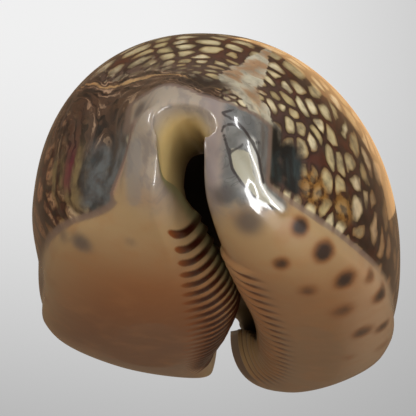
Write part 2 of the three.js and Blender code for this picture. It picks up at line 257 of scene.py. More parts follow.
y, full = ring_places()
ox, oz = outer_line(y)
ix, iz = inner_line(y)
columns = ox.shape[1]
side = np.arange(columns)
from_lip = np.minimum(side, columns - 1 - side)

# How far up a lip each column lies, 0 on the lobe and 1 at the edge of the slit.
lip_t = np.clip(1 - from_lip / LIP_STEPS, 0, 1)
is_left = side < columns / 2

# The teeth: ridges over both lips. Those of the left lip run slantwise, most of all at the rear.
tooth_run = (LEFT_SLANT + REAR_EXTRA_SLANT * smooth(-y, -5, 20)) * (lip_t - SLANT_PIVOT)
left_ridge = tooth_ridge(y - tooth_run, tooth_places(*LEFT_TEETH))
ridge = np.where(is_left, left_ridge, tooth_ridge(y, tooth_places(*RIGHT_TEETH)))
ridge_out = ridge * smooth(lip_t, 0.26, 0.55)
ridge_in = ridge * smooth(lip_t, 0.55, 1.0)
lobe_x = np.where(is_left, along(LEFT_LOBE_X, y), along(RIGHT_LOBE_X, y))
slit_x = np.where(is_left, along(SLIT_LEFT_X, y), along(SLIT_RIGHT_X, y))
rise = np.where(is_left, along(LEFT_LIP_RISE, y), along(RIGHT_LIP_RISE, y))
lobe_z = np.where(is_left, along(LEFT_LOBE_Z, y), along(RIGHT_LOBE_Z, y))
out_x = (ox - lobe_x) / (slit_x - lobe_x) ** 2
out_z = (oz - lobe_z - rise) / rise**2
scale = np.hypot(out_x, out_z) + 1e-9
ox = ox + TOOTH_HEIGHT * ridge_out * out_x / scale
oz = np.maximum(oz + TOOTH_HEIGHT * ridge_out * out_z / scale, 0)
ix = ix + TOOTH_HEIGHT * ridge_in * np.where(is_left, 1, -1)

# The layers that arch over the rear canal: where the grey callus ends, and the cream line that
# bounds the crowded layers, as places along Y for each x.
ARCH_X = [-15, -13, -11, -9.3, -8, -5.4, -2.3, 0, 1.9, 3.9, 5.5]
ARCH_LOW_Y = [-20, -22.2, -24.3, -25.9, -27.2, -30.3, -31.9, -32.6, -32.6, -32.1, -31]
ARCH_HIGH_Y = [-18.8, -20.9, -23.2, -24.6, -25.4, -27.6, -30.3, -31.4, -31.6, -31, -30]


def arch_place(x, y):
    """0 where the grey callus over the canal ends and 1 on the cream line above it."""
    low, high = np.interp(x, ARCH_X, ARCH_LOW_Y), np.interp(x, ARCH_X, ARCH_HIGH_Y)
    return (y - low) / (high - low)


# Fine relief of the outer face: low folds over the rear canal, a dimple over the spire, and a rib
# with a furrow beside it down the glassy end of the outer lip.
LIP_RIB = [(5.2, -31.6, 10.6), (5.3, -30.9, 9.7), (5.5, -30, 8.6), (5.9, -28.9, 7.5)]
LIP_RIB += [(6.5, -27.9, 6.6), (8.1, -26.3, 5.7)]
LIP_FURROW = [(4.7, -30.9, 9.6), (4.8, -30.2, 8.7), (5.2, -29.4, 7.8), (6.1, -28.0, 6.5)]
LIP_LINE_WEIGHT = 0.2
RIB_HEIGHT, RIB_WIDTH = 0.38, 0.5
FURROW_DEPTH, FURROW_WIDTH = 0.12, 0.45
WRINKLE_HEIGHT, WRINKLES, WAVER = 0.07, 3.2, 0.1
DIMPLE_AT, DIMPLE_DEPTH, DIMPLE_RADIUS = (0.3, -30.8, 17), 0.4, 1.5
flat_y = np.broadcast_to(y, ox.shape)
layer = arch_place(ox, flat_y)
over_arch = smooth(layer, -0.1, 0.2) * (1 - smooth(layer, 1.2, 1.8)) * smooth(oz, 12, 14)
wavy = layer + WAVER * np.sin(1.1 * ox)
relief = WRINKLE_HEIGHT * np.sin(2 * math.pi * WRINKLES * wavy) * over_arch
apart = (ox - DIMPLE_AT[0]) ** 2 + (y - DIMPLE_AT[1]) ** 2 + (oz - DIMPLE_AT[2]) ** 2
relief = relief - DIMPLE_DEPTH * np.exp(-apart / DIMPLE_RADIUS**2)
on_end = 1 - smooth(flat_y, -26.5, -24)
from_rib = to_line(ox, flat_y, oz, LIP_RIB, LIP_LINE_WEIGHT) / RIB_WIDTH
relief = relief + RIB_HEIGHT * on_end * np.exp(-(from_rib**2))
from_furrow = to_line(ox, flat_y, oz, LIP_FURROW, LIP_LINE_WEIGHT) / FURROW_WIDTH
relief = relief - FURROW_DEPTH * on_end * np.exp(-(from_furrow**2))
away = np.hypot(ox, oz - CORE_Z)
ox, oz = ox + relief * ox / away, oz + relief * (oz - CORE_Z) / away

# The rims: both lines close on a crest between them.
lip_crest = np.where(y < 0, REAR_LIP_CREST, FRONT_LIP_CREST)
crest = mix(lip_crest, ARCH_CREST, smooth(from_lip - LIP_STEPS, 0, BASE_STEPS))
cx, cz = mix(ox, ix, crest), mix(oz, iz, crest)
ox, oz, ix, iz = mix(cx, ox, full), mix(cz, oz, full), mix(cx, ix, full), mix(cz, iz, full)

# One closed ring of columns: along the outer line, then back along the inner one.
WIDTH_RANGE = (-21.545, 21.262)
TALLEST = 33.025
back = slice(columns - 2, 0, -1)
gx = np.concatenate([ox, ix[:, back]], 1)
gz = np.concatenate([oz, iz[:, back]], 1)
gx, gz = np.clip(gx, *WIDTH_RANGE), np.clip(gz, 0, TALLEST)

# The lips of the rear canal fall back behind its arch.
near_tip = 1 - smooth(y + HALF_LENGTH, 0, SLANT_OVER)
gy = y + REAR_SLANT * near_tip * smooth(SLANT_BELOW - gz, 0, SLANT_FULL)
rings, around = gx.shape
inside = np.concatenate([np.zeros(ox.shape), np.ones(ix[:, back].shape)], 1)
teeth = np.concatenate([ridge, ridge[:, back]], 1)
lip_at = np.broadcast_to(np.concatenate([lip_t, lip_t[back]]), gx.shape)
left_side = np.broadcast_to(np.concatenate([is_left, is_left[back]]), gx.shape)

# Net coordinates, counted in cells: across, from the crest of the back towards each lobe, and
# lengthwise, from the middle ring towards the tips, where the cells are smallest.
CELL_ACROSS = 4.2
CELL_STATIONS = [-33, -28, -23, -17, -8, 10, 20, 28, 33]
CELL_LENGTHS = [1.1, 1.5, 1.9, 2.5, 3.1, 3.1, 2.6, 1.8, 1.2]
step = np.hypot(np.diff(ox, axis=1), np.diff(oz, axis=1))
across = np.concatenate([np.zeros((rings, 1)), np.cumsum(step, 1)], 1)
across = across - across[:, [columns // 2]]
to_lobe = np.where(across < 0, -across[:, [LIP_STEPS]], across[:, [-LIP_STEPS - 1]])
mid = rings // 2
net_u = across / to_lobe * to_lobe[mid].max() / CELL_ACROSS
step = np.sqrt(np.diff(ox, axis=0) ** 2 + np.diff(y, axis=0) ** 2 + np.diff(oz, axis=0) ** 2)
step = step / np.interp((y[1:] + y[:-1]) / 2, CELL_STATIONS, CELL_LENGTHS)
length = np.concatenate([np.zeros((1, columns)), np.cumsum(step, 0)], 0)
net_v = length - length[[mid]]
net_u = np.concatenate([net_u, net_u[:, back]], 1)
net_v = np.concatenate([net_v, net_v[:, back]], 1)

# Where each finish lies. Masks are 0 to 1 and follow from the place on the shell.
# The callus ends at the fold along each side.
fold_z = np.where(gx < 0, along(LEFT_FOLD_Z, gy), along(RIGHT_FOLD_Z, gy))
steep = np.abs(np.gradient(fold_z, y[:, 0], axis=0))
over_fold = (gz - fold_z) / np.sqrt(1 + steep**2)
callus = np.maximum(1 - smooth(over_fold, -0.5, 0.5), smooth(lip_at, 0, 0.15))

# The callus also covers the arch over the rear canal and the end of both lips, as far as a
# raised edge beside the left hollow.
layer = arch_place(gx, gy)
over_canal = (1 - smooth(layer, -0.12, 0.12)) * smooth(gz, 11.5, 13) * smooth(gx, -8.2, -6.8)
rear_end = (1 - smooth(gy, -26, -24.5)) * (1 - inside)
edge_x = np.interp(gz, [6.8, 8.9, 10.6, 12.5, 14], [-8.8, -7.8, -7.1, -6.7, -6.4])
end_face = smooth(gx - edge_x, -0.3, 0.3) * (1 - smooth(gx, 6.3, 7.0)) * rear_end
end_face = end_face * (1 - smooth(gz, 13, 14))
callus = np.max([callus, over_canal, end_face, inside], axis=0)

# Spots of the side margins and of the base: x, y, z, radius, darkness.
SPOTS = [
    (10.0, -24.2, 4.7, 1.05, 1.0),
    (12.4, -20.8, 3.4, 1.25, 1.0),
    (8.2, -21.0, 1.8, 1.0, 0.75),
    (14.7, -15.6, 2.3, 1.4, 0.9),
    (10.9, -15.6, 0.9, 1.3, 0.6),
    (18.7, -8.7, 3.1, 1.3, 0.85),
    (14.6, -9.3, 0.9, 1.7, 0.6),
    (17.0, -1.5, 1.0, 1.5, 0.75),
    (19.3, 0.2, 2.2, 1.2, 0.75),
    (17.4, -13.3, 3.6, 1.1, 0.6),
    (17.4, -14.5, 6.5, 0.9, 0.9),
    (15.2, -18.6, 7.0, 1.3, 0.9),
    (19.0, 7.5, 3.0, 1.4, 0.8),
    (15.5, 6.0, 0.6, 1.3, 0.5),
    (17.5, 14.5, 3.0, 1.4, 0.8),
    (14.0, 20.0, 3.0, 1.3, 0.8),
    (9.5, 25.5, 3.5, 1.2, 0.7),
    (-16.5, -7.0, 4.0, 1.3, 0.5),
    (-18.5, 1.0, 4.5, 1.4, 0.7),
    (-19.5, 9.0, 4.5, 1.4, 0.7),
    (-17.5, 17.0, 4.5, 1.4, 0.7),
    (-13.5, 23.0, 5.0, 1.3, 0.6),
]
SMUDGES = [
    (2.4, -28.7, 5.8, 1.3, 0.9),
    (5.0, -26.3, 4.1, 1.9, 0.9),
    (-12.4, -18.8, 3.8, 1.5, 0.9),
    (-14.5, -18.1, 4.8, 1.3, 0.6),
    (-7.0, -21.5, 3.2, 1.0, 0.5),
    (-6.2, -30.5, 13.7, 1.1, 1.0),
]


def dabs(x, y, z, places):
    """Soft round dabs: the greatest of darkness times exp(-(distance / radius)^2)."""
    most = np.zeros(x.shape)
    for px, py, pz, radius, dark in places:
        apart = (x - px) ** 2 + ((y - py) * 0.8) ** 2 + (z - pz) ** 2
        most = np.maximum(most, dark * np.exp(-apart / radius**2))
    return most


spots = dabs(gx, gy, gz, SPOTS)
smudges = dabs(gx, gy, gz, SMUDGES)

# The line where the two halves of the mantle met, over the back from the rear canal.
MANTLE_LINE = [(6.6, -28.4, 12.4), (5.4, -29.6, 14.6), (3.5, -30, 16.6), (3.6, -27.5, 18.9)]
MANTLE_LINE += [(4.4, -24.5, 21.8), (5.6, -20, 26), (6.5, -12, 30), (6.4, 0, 31.8)]
MANTLE_LINE += [(6.8, 10, 29.5), (6, 20, 24.5), (4, 27, 19.5), (2, 32, 15)]
line_width = 0.45 + 1.6 * smooth(-gy, 20, 28)
mantle = 1 - smooth(to_line(gx, gy, gz, MANTLE_LINE), 0.2 * line_width, 1.7 * line_width)

# Grey translucent callus round the rear canal, and its glassy face on the outer lip.
from_canal = np.sqrt((gx + 1) ** 2 + 0.7 * (gy + 33) ** 2 + 0.8 * (gz - 11.5) ** 2)
grey = 1 - smooth(from_canal, 5.5, 11)
glassy = smooth(gx, 1.4, 3.0) * smooth(gz, 3.8, 6.6) * smooth(-gy, 24.5, 27.0) * callus

# The dark blotch over the hidden spire, and the arched wrinkles round it.
from_spire = np.sqrt((0.65 * (gx - 0.1)) ** 2 + (gy + 31) ** 2 + (gz - 16.8) ** 2)
spire = 1 - smooth(from_spire, 0.9, 2.2)
arch = np.clip(layer, -1, 3)
arch_zone = (1 - smooth(layer, 1.1, 1.5)) * smooth(gz, 12.0, 13.5) * (1 - smooth(gx, 1.0, 2.5))
arch_zone = arch_zone * smooth(gx, -16, -13)

# Hair cracks in the glassy end, and the cream patch that they bound.
CRACKS = [
    [(2.1, -33, 12.6), (3.7, -32.6, 11.8), (4.6, -32.1, 11), (5.2, -31.3, 10.3)],
    [(5.2, -31.3, 10.3), (5.8, -30.3, 9.4), (6.0, -29.4, 8.4), (6.3, -28.5, 7.4)],
    [(2.2, -32.6, 11.1), (2.8, -31.7, 9.6), (3.0, -31.2, 9.1), (3.3, -30.2, 8)],
    [(3.3, -30.2, 8), (4.2, -29.2, 7), (5.2, -28.3, 6.2), (6.1, -27.4, 5.8), (7.2, -26.7, 5.5)],
    [(3.0, -31.2, 9.2), (3.8, -31.4, 9.8), (5.0, -31.3, 10.2), (5.8, -30.4, 10.8)],
    [(2.1, -33, 12.6), (3.1, -32.6, 13.1)],
    [(2.2, -32.6, 11.1), (3.0, -32.4, 11.6), (4.2, -32.3, 11.4)],
]
apart = np.min([to_line(gx, gy, gz, line, 0.15) for line in CRACKS], axis=0)
cracks = (1 - smooth(apart, 0.04, 0.4)) * rear_end
cream_from = np.interp(gz, [5.5, 5.8, 6.2, 7, 8, 9.1], [7.2, 6.1, 5.2, 4.2, 3.3, 3.0])
cream_to = np.interp(gz, [5.7, 6.6, 7.5, 9.7], [8.0, 6.3, 5.6, 4.9])
cream = smooth(gx - cream_from, 0, 0.3) * (1 - smooth(gx - cream_to, -0.3, 0.1)) * rear_end
cream = cream * smooth(gz, 5.4, 5.9) * (1 - smooth(gz, 9.4, 9.8))
# A painted highlight: a pale band along the rib, under the real highlight that the rib's relief
# catches.
from_rib = to_line(gx, gy, gz, LIP_RIB, LIP_LINE_WEIGHT)
rib_painted_highlight = (1 - smooth(from_rib, 0.1, 0.5)) * rear_end

# The blue-grey streak and the pinkish edge of the left lip, and the mauve edge of the right lip.
STREAK_LINE = [(-6.3, -30.2, 9.6), (-6.3, -29.2, 7.8), (-6.3, -27.6, 5.8)]
streak = (1 - smooth(to_line(gx, gy, gz, STREAK_LINE, 0.3), 0.2, 1.6)) * rear_end
EDGE_LINE = [(-6.7, -30, 12.5), (-7.1, -29.1, 10.6), (-7.8, -27.5, 8.9), (-8.8, -25.6, 6.8)]
pink = (1 - smooth(to_line(gx, gy, gz, EDGE_LINE, 0.5), 0.1, 0.8)) * (1 - inside)
strip = smooth(gx, -0.4, 1.4) * (1 - smooth(gx, 1.3, 3.0)) * rear_end * smooth(gz, 3.5, 7.0)

# The hollows beside the rear canal, under thick dark glaze, and the amber patch on the right.
LEFT_HOLLOWS = [(-12, -24, 11, 5.2, 1.0), (-10.4, -24.5, 7.8, 3.2, 0.9)]
LEFT_HOLLOWS += [(-8.8, -27, 10.5, 2.6, 1.0), (-8.2, -28.2, 12.8, 2.0, 1.0)]
left_hollow = dabs(gx, gy, gz, LEFT_HOLLOWS)
RIGHT_HOLLOWS = [[(6.9, -27.6, 12.4), (7.2, -27.1, 9.0)], [(8.7, -26.1, 11.8), (9.1, -25.6, 8.8)]]
from_hollow = np.min([to_line(gx, gy, gz, line) for line in RIGHT_HOLLOWS], axis=0)
right_hollow = (1 - smooth(from_hollow, 0.1, 2.3)) * (1 - inside)
amber = dabs(gx, gy, gz, [(11.2, -23.8, 8.8, 2.4, 1.0), (14.2, -20.3, 8.3, 2.2, 0.9)])

# The inner face: cream at the rims, ochre in the rear canal, and painted shade that darkens it deep in
# the cavity, behind the right lip and towards the front.
ochre = inside * smooth(gy, -32.9, -31.8) * smooth(-gy, 17, 23)
from_end = HALF_LENGTH - np.abs(gy)
# Painted shade: darker behind the right lip, deeper in from the ends, and towards the front.
shaded = smooth(gx, -2.0, 1.0) * smooth(from_end, 0.8, 5.0)
cavity_painted_shade = inside * np.max([smooth(from_end, 2.0, 12.0), shaded, 0.85 * smooth(gy, 0, 8)], axis=0)

shades = {
    "callus": callus,
    "spots": spots,
    "smudges": smudges,
    "mantle": mantle,
    "grey": grey,
    "glassy": glassy,
    "spire": spire,
    "arch": arch,
    "arch_zone": arch_zone,
    "left_hollow": left_hollow,
    "right_hollow": right_hollow,
    "amber": amber,
    "cracks": cracks,
    "cream": cream,
    "rib_painted_highlight": rib_painted_highlight,
    "streak": streak,
    "pink": pink,
    "strip": strip,
    "teeth": teeth,
    "lip": lip_at * left_side,
    "lip_right": lip_at * ~left_side * smooth(gy, RIGHT_TEETH[0] - 0.4, RIGHT_TEETH[0] + 0.2),
    "fossula": (1 - inside) * left_side * smooth(lip_at, 0.7, 0.95) * smooth(-gy, -4.0, 12.0),
    "inside": inside * smooth(HALF_LENGTH - np.abs(gy), 0.2, 3.0),
    "ochre": ochre,
    "deep": cavity_painted_shade,
    "net_u": net_u,
    "net_v": net_v,
}

# Vertices: at each tip the inner columns are the outer ones, so that the rims are closed.
ids = np.arange(rings * around).reshape(rings, around)
for tip in (0, rings - 1):
    ids[tip, columns:] = ids[tip, columns - 2 : 0 : -1]
used, flat = np.unique(ids, return_inverse=True)
ids = flat.reshape(ids.shape)
a, b = ids[:-1], np.roll(ids[:-1], -1, axis=1)
c, d = ids[1:], np.roll(ids[1:], -1, axis=1)
quads = np.stack([a, b, d, c], -1).reshape(-1, 4)
points = np.stack([gx, gy, gz], -1).reshape(-1, 3)[used] * MM

mesh = bpy.data.meshes.new("cowrie_shell")
mesh.from_pydata(points, [], quads)
mesh.validate()
mesh.polygons.foreach_set("use_smooth", np.ones(len(mesh.polygons), bool))
for name, values in shades.items():
    attribute = mesh.attributes.new(name, "FLOAT", "POINT")
    attribute.data.foreach_set("value", values.reshape(-1)[used].astype(np.float32))
mesh.update()
shell = bpy.data.objects.new("cowrie_shell", mesh)
bpy.context.scene.collection.objects.link(shell)


def colour(text):
    """Linear colour of an sRGB hex value: c / 12.92 up to 0.04045, ((c + 0.055) / 1.055)^2.4 above."""
    c = np.array([int(text[i : i + 2], 16) / 255 for i in (1, 3, 5)])
    c = np.where(c <= 0.04045, c / 12.92, ((c + 0.055) / 1.055) ** 2.4)
    return (*c, 1.0)


def add(tree, kind, inputs=(), **settings):
    """Adds a node and gives its outputs. Its properties are set first, and then its inputs are
    set or linked: by name or number, or in a row from the first one on."""
    node = tree.nodes.new("ShaderNode" + kind)
    for key, value in settings.items():
        setattr(node, key, value)
    for key, value in inputs.items() if isinstance(inputs, dict) else enumerate(inputs):
        if isinstance(value, bpy.types.NodeSocket):
            tree.links.new(value, node.inputs[key])
        else:
            node.inputs[key].default_value = value
    return node.outputs


# What most nodes are set to. In colour, a Mix node has its share at input 0, its colours at inputs
# 6 and 7, and its result at output 2. A Map Range node takes a value, then from and to.
IN_COLOUR = {"data_type": "RGBA"}
SMOOTHLY = {"interpolation_type": "SMOOTHSTEP"}

# Aragonite, laid down in thin clear layers and polished by the living mantle. The gloss gives
# narrow, sharp highlights, and the colours look a little below the surface. Sizes of noise are in
# millimetres, as 1 / size.
glaze = bpy.data.materials.new("polished_cowrie_aragonite")
glaze.use_nodes = True
tree = glaze.node_tree
tree.nodes.clear()
place = add(tree, "TexCoord")["Object"]
mm = add(tree, "VectorMath", {0: place, 3: 1 / MM}, operation="SCALE")[0]
far = add(tree, "SeparateXYZ", {0: mm})
masks = {name: add(tree, "Attribute", attribute_name=name)["Fac"] for name in shades}

# The net: rounded pale cells in brown, bent by noise, each cell paler at its heart.
grain = add(tree, "TexNoise", {"Vector": mm, "Scale": 1 / 4.5, "Detail": 3.0})[0]
bend_u = add(tree, "Math", (grain, 1.0, -0.5), operation="MULTIPLY_ADD")[0]
grain = add(tree, "TexNoise", {"Vector": mm, "Scale": 1 / 5.3, "Detail": 3.0})[0]
bend_v = add(tree, "Math", (grain, 1.0, -0.5), operation="MULTIPLY_ADD")[0]
nu = add(tree, "Math", (masks["net_u"], bend_u), operation="ADD")[0]
nv = add(tree, "Math", (masks["net_v"], bend_v), operation="ADD")[0]
net_at = add(tree, "CombineXYZ", {0: nu, 1: nv})[0]
cell_in = {"Vector": net_at, "Scale": 1.0, "Randomness": 0.72}
first = add(tree, "TexVoronoi", cell_in, voronoi_dimensions="2D", feature="F1")
second = add(tree, "TexVoronoi", cell_in, voronoi_dimensions="2D", feature="F2")
lot = add(tree, "SeparateColor", {0: first["Color"]})
gap = add(tree, "Math", (second["Distance"], first["Distance"]), operation="SUBTRACT")[0]
grain = add(tree, "TexNoise", {"Vector": mm, "Scale": 1 / 0.8, "Detail": 3.0})[0]
amount = add(tree, "Math", (grain, 0.24, -0.12), operation="MULTIPLY_ADD")[0]
gap = add(tree, "Math", (gap, amount), operation="ADD")[0]
grain = add(tree, "TexNoise", {"Vector": mm, "Scale": 1 / 8.0, "Detail": 3.0})[0]
wide = add(tree, "MapRange", (grain, 0.42, 0.68, 0.13, 0.36), **SMOOTHLY)[0]
from_heart = add(tree, "Math", (first["Distance"], -1.1, 0.64), operation="MULTIPLY_ADD")[0]
amount = add(tree, "Math", (gap, wide), operation="SUBTRACT")[0]
beyond = add(tree, "Math", (amount, from_heart, 0.12), operation="SMOOTH_MIN")[0]
in_cell = add(tree, "MapRange", (beyond, 0.0, 0.09), **SMOOTHLY)[0]
heart = add(tree, "MapRange", (beyond, 0.02, 0.36), **SMOOTHLY)[0]
rim_colour = add(tree, "Mix", {0: lot[1], 6: colour("#80633c"), 7: colour("#6f6443")}, **IN_COLOUR)[2]
heart_colour = add(tree, "Mix", {0: lot[0], 6: colour("#d9cfad"), 7: colour("#a8996e")}, **IN_COLOUR)[2]
cells = add(tree, "Mix", {0: heart, 6: rim_colour, 7: heart_colour}, **IN_COLOUR)[2]
near_rear = add(tree, "MapRange", (far[1], -27.5, -21.0, 0.6, 0.0), **SMOOTHLY)[0]
grain = add(tree, "TexNoise", {"Vector": mm, "Scale": 1 / 1.3, "Detail": 3.0})[0]
mauve_lines = add(tree, "Mix", {0: grain, 6: colour("#2c1c1a"), 7: colour("#5f4b4c")}, **IN_COLOUR)[2]
grain = add(tree, "TexNoise", {"Vector": mm, "Scale": 1 / 2.2, "Detail": 3.0})[0]
redder = add(tree, "MapRange", (grain, 0.35, 0.7), **SMOOTHLY)[0]
brown_lines = add(tree, "Mix", {0: redder, 6: colour("#200c05"), 7: colour("#4b1d09")}, **IN_COLOUR)[2]
net_lines = add(tree, "Mix", {0: near_rear, 6: brown_lines, 7: mauve_lines}, **IN_COLOUR)[2]
outline = add(tree, "MapRange", (beyond, -0.14, 0.0), **SMOOTHLY)[0]
share = add(tree, "MapRange", (beyond, 0.0, 0.1, 1.0, 0.0), **SMOOTHLY)[0]
outline = add(tree, "Math", (outline, share), operation="MULTIPLY")[0]
amount = add(tree, "Math", (outline, 0.7), operation="MULTIPLY")[0]
net_lines = add(tree, "Mix", {0: amount, 6: net_lines, 7: colour("#1f0d08")}, **IN_COLOUR)[2]
netted = add(tree, "Mix", {0: in_cell, 6: net_lines, 7: cells}, **IN_COLOUR)[2]
grain = add(tree, "TexNoise", {"Vector": mm, "Scale": 1 / 0.7, "Detail": 4.0, "Distortion": 0.5})[0]
flecks = add(tree, "MapRange", (grain, 0.46, 0.6), **SMOOTHLY)[0]
share = add(tree, "MapRange", (far[0], -16.0, -7.0, 0.75, 0.0), **SMOOTHLY)[0]
flecks = add(tree, "Math", (flecks, share), operation="MULTIPLY")[0]
netted = add(tree, "Mix", {0: flecks, 6: netted, 7: colour("#4a1c0e")}, **IN_COLOUR)[2]
to_right = add(tree, "MapRange", (far[0], 12.5, 20.0), **SMOOTHLY)[0]
amount = add(tree, "Math", (to_right, 0.85), operation="MULTIPLY")[0]
netted = add(
    tree, "Mix", {0: amount, 6: netted, 7: colour("#a86f42")}, blend_type="MULTIPLY", **IN_COLOUR
)[2]

# Where the mantle's halves met: an uneven pale seam, mint and pinkish tan, flecked with brown.
grain = add(tree, "TexNoise", {"Vector": mm, "Scale": 1 / 1.6, "Detail": 4.0})[0]
uneven = add(tree, "Math", (grain, 1.5, -0.75), operation="MULTIPLY_ADD")[0]
amount = add(tree, "Math", (masks["mantle"], uneven), operation="ADD")[0]
on_seam = add(tree, "MapRange", (amount, 0.42, 0.6), **SMOOTHLY)[0]
grain = add(tree, "TexNoise", {"Vector": mm, "Scale": 1 / 2.6, "Detail": 3.0})[0]
share = add(tree, "MapRange", (grain, 0.42, 0.58), **SMOOTHLY)[0]
seam = add(tree, "Mix", {0: share, 6: colour("#9d7e5f"), 7: colour("#bdbaa6")}, **IN_COLOUR)[2]
grain = add(tree, "TexNoise", {"Vector": mm, "Scale": 1 / 0.9, "Detail": 3.0})[0]
share = add(tree, "MapRange", (grain, 0.6, 0.72, 0.0, 0.5), **SMOOTHLY)[0]
seam = add(tree, "Mix", {0: share, 6: seam, 7: colour("#6f513a")}, **IN_COLOUR)[2]
netted = add(tree, "Mix", {0: on_seam, 6: netted, 7: seam}, **IN_COLOUR)[2]

# Over the rear canal the net is crowded: dark and broken, with small pale flecks.
share = add(tree, "MapRange", (masks["arch"], 1.4, 2.9, 0.8, 0.0), **SMOOTHLY)[0]
other_share = add(tree, "MapRange", (far[2], 13, 15), **SMOOTHLY)[0]
crowded = add(tree, "Math", (share, other_share), operation="MULTIPLY")[0]
share = add(tree, "MapRange", (far[0], 2.0, 4.5, 1.0, 0.0), **SMOOTHLY)[0]
crowded = add(tree, "Math", (crowded, share), operation="MULTIPLY")[0]
grain = add(tree, "TexNoise", {"Vector": mm, "Scale": 1 / 1.0, "Detail": 4.0, "Distortion": 0.8})[0]
broken = add(tree, "MapRange", (grain, 0.4, 0.6), **SMOOTHLY)[0]
broken = add(tree, "Mix", {0: broken, 6: colour("#1a1213"), 7: colour("#5c4b43")}, **IN_COLOUR)[2]
grain = add(tree, "TexNoise", {"Vector": mm, "Scale": 1 / 0.8, "Detail": 3.0, "Distortion": 0.4})[0]
pale_fleck = add(tree, "MapRange", (grain, 0.58, 0.66, 0.0, 0.8), **SMOOTHLY)[0]
broken = add(tree, "Mix", {0: pale_fleck, 6: broken, 7: colour("#a8997c")}, **IN_COLOUR)[2]
netted = add(tree, "Mix", {0: crowded, 6: netted, 7: broken}, **IN_COLOUR)[2]

# Lines that arch over the rear canal where the growth layers crowd together.
grain = add(tree, "TexNoise", {"Vector": mm, "Scale": 1 / 2.4, "Detail": 3.0})[0]
wander = add(tree, "Math", (grain, 0.7, -0.35), operation="MULTIPLY_ADD")[0]
amount = add(tree, "Math", (masks["arch"], wander), operation="ADD")[0]
lane = add(tree, "Math", (amount, 7.0), operation="MULTIPLY")[0]
drawn_out = add(tree, "Math", (far[0], 0.35), operation="MULTIPLY")[0]
lane_at = add(tree, "CombineXYZ", {0: lane, 1: drawn_out})[0]
lanes = add(tree, "TexNoise", {"Vector": lane_at, "Scale": 1.0, "Detail": 4.0})[0]
share = add(tree, "MapRange", (lanes, 0.4, 0.52), **SMOOTHLY)[0]
layered = add(tree, "Mix", {0: share, 6: colour("#130c0b"), 7: colour("#503b2d")}, **IN_COLOUR)[2]
share = add(tree, "MapRange", (lanes, 0.56, 0.66), **SMOOTHLY)[0]
layered = add(tree, "Mix", {0: share, 6: layered, 7: colour("#a98e74")}, **IN_COLOUR)[2]
amount = add(tree, "Math", (masks["arch"], -1.0), operation="ADD")[0]
from_rim = add(tree, "Math", (wander, 0.3, amount), operation="MULTIPLY_ADD")[0]
rim_line = add(tree, "Math", (from_rim,), operation="ABSOLUTE")[0]
share = add(tree, "MapRange", (rim_line, 0.02, 0.12, 0.85, 0.0), **SMOOTHLY)[0]
layered = add(tree, "Mix", {0: share, 6: layered, 7: colour("#c49f6d")}, **IN_COLOUR)[2]
grain = add(tree, "TexNoise", {"Vector": mm, "Scale": 1 / 1.8, "Detail": 3.0})[0]
frayed = add(tree, "Math", (grain, 0.5, -0.25), operation="MULTIPLY_ADD")[0]
zone = add(tree, "Math", (masks["arch_zone"], frayed), operation="ADD")[0]
share = add(tree, "MapRange", (zone, 0.3, 0.65), **SMOOTHLY)[0]
netted = add(tree, "Mix", {0: share, 6: netted, 7: layered}, **IN_COLOUR)[2]
to_left = add(tree, "MapRange", (far[0], -19.0, -8.0, 0.9, 0.0), **SMOOTHLY)[0]
netted = add(
    tree, "Mix", {0: to_left, 6: netted, 7: colour("#a8603e")}, blend_type="MULTIPLY", **IN_COLOUR
)[2]
amount = add(tree, "Math", (masks["spire"], 0.92), operation="MULTIPLY")[0]
netted = add(tree, "Mix", {0: amount, 6: netted, 7: colour("#120d0f")}, **IN_COLOUR)[2]

# The thick glaze over the hollows: blue-grey and brown, drawn down in streaks.
drawn_down = {0: mm, 1: (1.0, 1.0, 0.3)}
streak_at = add(tree, "VectorMath", drawn_down, operation="MULTIPLY")[0]
streaky = {"Vector": streak_at, "Scale": 1 / 1.5, "Detail": 4.0, "Distortion": 0.6}
streaks = add(tree, "TexNoise", streaky)[0]
share = add(tree, "MapRange", (streaks, 0.42, 0.58), **SMOOTHLY)[0]
olive = add(tree, "Mix", {0: share, 6: colour("#2a1f15"), 7: colour("#6f5f40")}, **IN_COLOUR)[2]
grain = add(tree, "TexNoise", {"Vector": mm, "Scale": 1 / 2.2, "Detail": 3.0, "Distortion": 0.3})[0]
cloud = add(tree, "MapRange", (grain, 0.38, 0.62), **SMOOTHLY)[0]
slate = add(tree, "Mix", {0: cloud, 6: colour("#34393b"), 7: colour("#5a6062")}, **IN_COLOUR)[2]
share = add(tree, "MapRange", (far[0], -13.2, -11.2), **SMOOTHLY)[0]
murk = add(tree, "Mix", {0: share, 6: olive, 7: slate}, **IN_COLOUR)[2]
amount = add(tree, "Math", (far[0], 12.0), operation="ADD")[0]
crimson = add(tree, "Math", (streaks, 4.0, amount), operation="MULTIPLY_ADD")[0]
crimson = add(tree, "Math", (crimson,), operation="ABSOLUTE")[0]
crimson = add(tree, "MapRange", (crimson, 0.1, 0.9, 0.75, 0.0), **SMOOTHLY)[0]
share = add(tree, "MapRange", (far[2], 7.5, 9.5), **SMOOTHLY)[0]
crimson = add(tree, "Math", (crimson, share), operation="MULTIPLY")[0]
murk = add(tree, "Mix", {0: crimson, 6: murk, 7: colour("#571a2a")}, **IN_COLOUR)[2]
share = add(tree, "MapRange", (far[2], 11.0, 14.0, 0.0, 0.85), **SMOOTHLY)[0]
murk = add(tree, "Mix", {0: share, 6: murk, 7: layered}, **IN_COLOUR)[2]
amount = add(tree, "Math", (streaks, 0.8, -0.4), operation="MULTIPLY_ADD")[0]
murky = add(tree, "Math", (masks["left_hollow"], amount), operation="ADD")[0]
share = add(tree, "MapRange", (murky, 0.2, 0.6), **SMOOTHLY)[0]
netted = add(tree, "Mix", {0: share, 6: netted, 7: murk}, **IN_COLOUR)[2]
share = add(tree, "MapRange", (streaks, 0.45, 0.65), **SMOOTHLY)[0]
